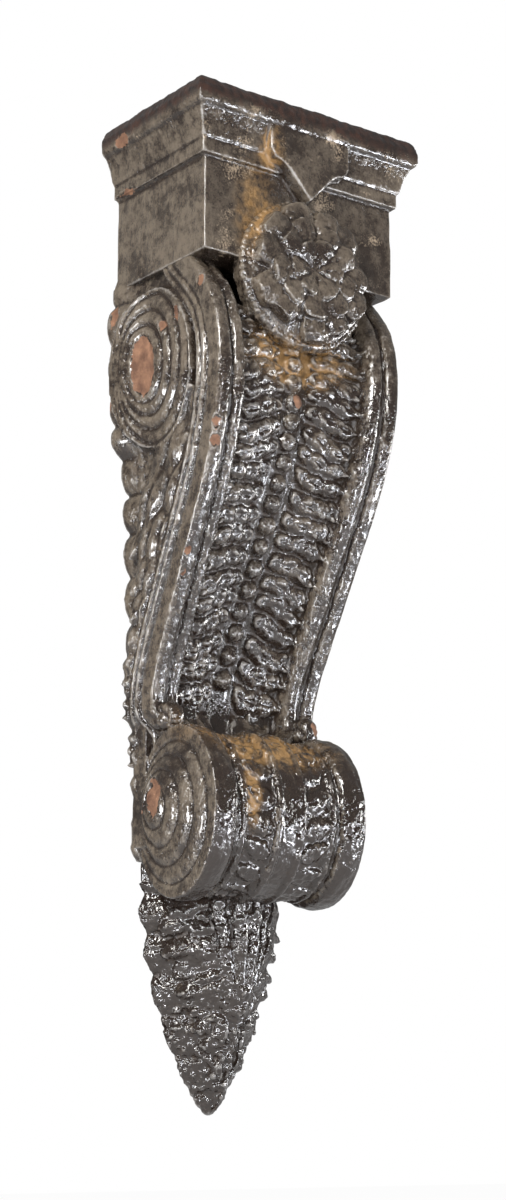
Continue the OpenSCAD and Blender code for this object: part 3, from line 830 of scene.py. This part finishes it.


# Thick old paint: glossy in front, with a film of dust and a painted sheen on its sides, dusty and
# darkened by painted shade in its hollows, worn pale and painted with highlights on the high spots, and
# chipped to the stone
def blackPaint(name, film, sideFilmAndSheen=0.5, worn=0.0, lip=False):
    made, start = newMaterial(name)
    facing = start.node("ShaderNodeNewGeometry", out=3)
    ahead = 1 - start.node("ShaderNodeSeparateXYZ", values={0: facing}, out=1).between(0.7, 0.95)
    fine, broad = start.attribute("fineHollow") * ahead, start.attribute("broadHollow") * ahead
    chip, dust = start.attribute("chipEdge"), start.attribute("dust") * ahead
    sideways, upward = start.attribute("sideways") * ahead, start.attribute("upward") * ahead
    patches, mottle, grain = start.noise(42), start.noise(8), start.noise(2.0)
    drips = start.noise(5, stretch=(1, 1, 0.4))
    # Painted sheen: faces turned sideways take more of the pale film colour, standing in for soft light
    # reflected off them, on top of the real dust film
    side = sideways.between(0.55, 0.92)
    filmAndSheen = side * sideFilmAndSheen + film + (patches - 0.5) * 1.5
    filmAndSheen = filmAndSheen + (mottle - 0.5) * (side * 0.8 + 0.8) + (grain - 0.5) * 0.5
    # Upward faces take more dust film; hollows take less, which darkens them as painted shade
    filmAndSheen = filmAndSheen + upward * 0.25 - fine * 0.9
    filmAndSheen = filmAndSheen.between(0.0, 1.0)
    shade = filmAndSheen.colours(paint["clean"], paint["film"])
    settled = (fine * 1.6 + broad * 0.35 + (mottle - 0.5) * 0.8 + dust * 0.75).between(0.25, 1.3)
    caked = settled * (dust * 0.6 + 0.38) + dust * mottle.between(0.3, 0.7) * 0.75
    shade = caked.colours(shade, paint["ochre"])
    # Painted shade: hollows and grooves are darkened towards the darkest colour, less where dust lies
    deep = (fine * 3.6 + broad * 0.6 - dust * 1.5).between(0.2, 1.4)
    shade = (deep * 0.85).colours(shade, paint["shadeAndGrime"])
    # Wear and painted highlight: ridges and high spots are lightened towards the pale grey edge colour
    wornAndHighlit = (fine * -2.6 + (grain - 0.5) * 1.4 + (mottle - 0.5) * 0.6).between(0.55, 1.2)
    shade = (wornAndHighlit * 0.3).colours(shade, paint["edge"])
    if worn:
        bare = (start.noise(30, 6.0) - 0.5) * 3.2 + (grain - 0.5) * 1.4 + (worn - 0.5) - side * 0.6
        shade = (bare.between(0.25, 0.8) * 0.75).colours(shade, paint["beige"])
    if lip:
        place = start.node("ShaderNodeTexCoord", out=3)
        height = start.node("ShaderNodeSeparateXYZ", values={0: place}, out=2)
        top = float(boxHigh[2])
        torn = (height + (mottle - 0.5) * (14 * unit)).between(top - 24 * unit, top - 13 * unit)
        grime = (mottle.between(0.3, 0.7) * 0.6).colours(paint["shadeAndGrime"], paint["rust"])
        shade = torn.colours(shade, grime)
    stone = start.noise(13, 5.0).between(0.3, 0.75).colours(paint["stone"], paint["pale"])
    ragged = chip + (start.noise(2.6) - 0.5) * 2.4 + (start.noise(9) - 0.5) * 9
    gone = 1 - ragged.between(-0.5, 0.15)
    shade = gone.colours(shade, stone)
    rough = filmAndSheen * 0.14 + settled * 0.3 + paint["gloss"] + (mottle - 0.5) * 0.12
    rough = rough.highest(gone * 0.85)
    bump = mottle * 0.6 + drips * 0.8 + start.noise(2.6, 1.0) * 0.3
    normal = start.node("ShaderNodeBump", None, {
        "Strength": 0.6, "Distance": paint["bump"], "Height": bump})
    shader = start.node("ShaderNodeBsdfPrincipled", None, {
        "Base Color": shade, "Roughness": rough, "Normal": normal, "IOR": 1.55,
        "Coat Weight": (1 - gone.highest(settled)) * 0.6, "Coat Roughness": 0.06})
    start.node("ShaderNodeOutputMaterial", None, {0: shader})
    return made


# How much dust film each piece has all over, and how much more film and painted sheen lighten its side
# faces
finishes = {
    "crown_block": {"film": 0.36, "sideFilmAndSheen": 0.22, "worn": 0.52, "lip": True},
    "boss": {"film": 0.36, "sideFilmAndSheen": 0.3},
    "scroll": {"film": 0.15, "sideFilmAndSheen": 0.34},
    "roll": {"film": -0.10, "sideFilmAndSheen": 0.52},
    "pendant_leaf": {"film": -0.25, "sideFilmAndSheen": 0.1},
}
for piece in pieces:
    piece.data.materials.clear()
    piece.data.materials.append(blackPaint(piece.name + "_paint", **finishes[piece.name]))
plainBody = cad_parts["corbel"].data
plainBody.materials.clear()
plainBody.materials.append(bpy.data.materials["scroll_paint"])
print("materials made")


# Pale floor well below the leaf's tip, open white surroundings and soft light from the front
studio = {"floorDrop": 0.30, "floorSize": 14, "white": 1.0, "ambient": 0.27, "mirrored": 0.2}


def emitted(name, shade):
    made, start = newMaterial(name)
    path = start.node("ShaderNodeLightPath")
    seen = Wire(path.tree, path.socket.node.outputs["Is Camera Ray"])
    glow = start.node("ShaderNodeEmission", None, {0: (1, 1, 1, 1), 1: 1.0})
    matt = start.node("ShaderNodeBsdfDiffuse", None, {0: shade})
    start.node("ShaderNodeOutputMaterial", None, {0: start.node("ShaderNodeMixShader", None, {
        0: seen * 0.97, 1: matt, 2: glow})})
    return made


def makeFloor():
    shape = bmesh.new()
    bmesh.ops.create_grid(shape, x_segments=1, y_segments=1, size=studio["floorSize"] / 2)
    bmesh.ops.translate(shape, verts=shape.verts, vec=(0, 0, boxLow[2] - studio["floorDrop"]))
    mesh = bpy.data.meshes.new("floor")
    shape.to_mesh(mesh)
    shape.free()
    floor = bpy.data.objects.new("floor", mesh)
    bpy.context.scene.collection.objects.link(floor)
    mesh.materials.append(emitted("pale_floor", (0.75, 0.75, 0.75, 1)))


def makeWorld():
    world = bpy.data.worlds.new("studio")
    bpy.context.scene.world = world
    world.use_nodes = True
    tree = world.node_tree
    tree.nodes.clear()
    start = Wire(tree)
    path = tree.nodes.new("ShaderNodeLightPath")
    seen = Wire(tree, path.outputs["Is Camera Ray"]) * (studio["white"] - studio["ambient"])
    mirrored = Wire(tree, path.outputs["Is Glossy Ray"]) * (studio["mirrored"] - studio["ambient"])
    level = seen + mirrored + studio["ambient"]
    glow = start.node("ShaderNodeBackground", None, {0: (1, 1, 1, 1), 1: level})
    start.node("ShaderNodeOutputWorld", None, {0: glow})


# Lamps: place in metres, size across, power in watts, warmth
lamps = [
    {"name": "key", "at": (-1.8, -1.1, 1.0), "size": 0.45, "power": 45, "colour": (1, 0.98, 0.95)},
    {"name": "front", "at": (-0.4, -2.3, -0.3), "size": 0.2, "power": 22, "colour": (0.93, 0.95, 1)},
    {"name": "low", "at": (1.25, -1.45, -0.62), "size": 0.35, "power": 21, "colour": (0.90, 0.93, 1)},
    {"name": "left", "at": (-2.1, 0.0, -0.3), "size": 0.35, "power": 18, "colour": (0.97, 0.98, 1)},
    {"name": "glint", "at": (-1.5, -1.5, -0.66), "size": 0.18, "power": 16, "colour": (0.92, 0.95, 1)},
    {"name": "right", "at": (2.1, -0.7, 0.1), "size": 0.4, "power": 20, "colour": (1, 1, 1)},
]


def makeLamps():
    for lamp in lamps:
        light = bpy.data.lights.new(lamp["name"], "AREA")
        light.size, light.energy, light.color = lamp["size"], lamp["power"], lamp["colour"]
        thing = bpy.data.objects.new(lamp["name"], light)
        place = Vector(lamp["at"])
        thing.location = place
        thing.rotation_euler = (Vector((0, -0.07, 0)) - place).to_track_quat("-Z", "Y").to_euler()
        bpy.context.scene.collection.objects.link(thing)


# The camera looks up and across at the corbel from its front left
view = {"azimuth": -36.9, "elevation": -12.98, "away": 2.158, "aim": (0.031, -0.027, 0.015), "lens": 68.3}


def makeCamera():
    camera = bpy.data.objects.new("camera", bpy.data.cameras.new("camera"))
    turn, tilt = math.radians(view["azimuth"]), math.radians(view["elevation"])
    back = Vector((math.sin(turn) * math.cos(tilt), -math.cos(turn) * math.cos(tilt), math.sin(tilt)))
    camera.location = Vector(view["aim"]) + back * view["away"]
    camera.rotation_euler = (math.radians(90) - tilt, 0, turn)
    camera.data.lens = view["lens"]
    camera.data.sensor_width = 36
    bpy.context.scene.collection.objects.link(camera)
    bpy.context.scene.camera = camera


makeFloor()
makeWorld()
makeLamps()
makeCamera()
bpy.context.scene.view_settings.view_transform = "Standard"
for name in ("Cube", "Light", "Camera"):
    if name in bpy.data.objects:
        bpy.data.objects.remove(bpy.data.objects[name])
print("stage, lamps and camera set")
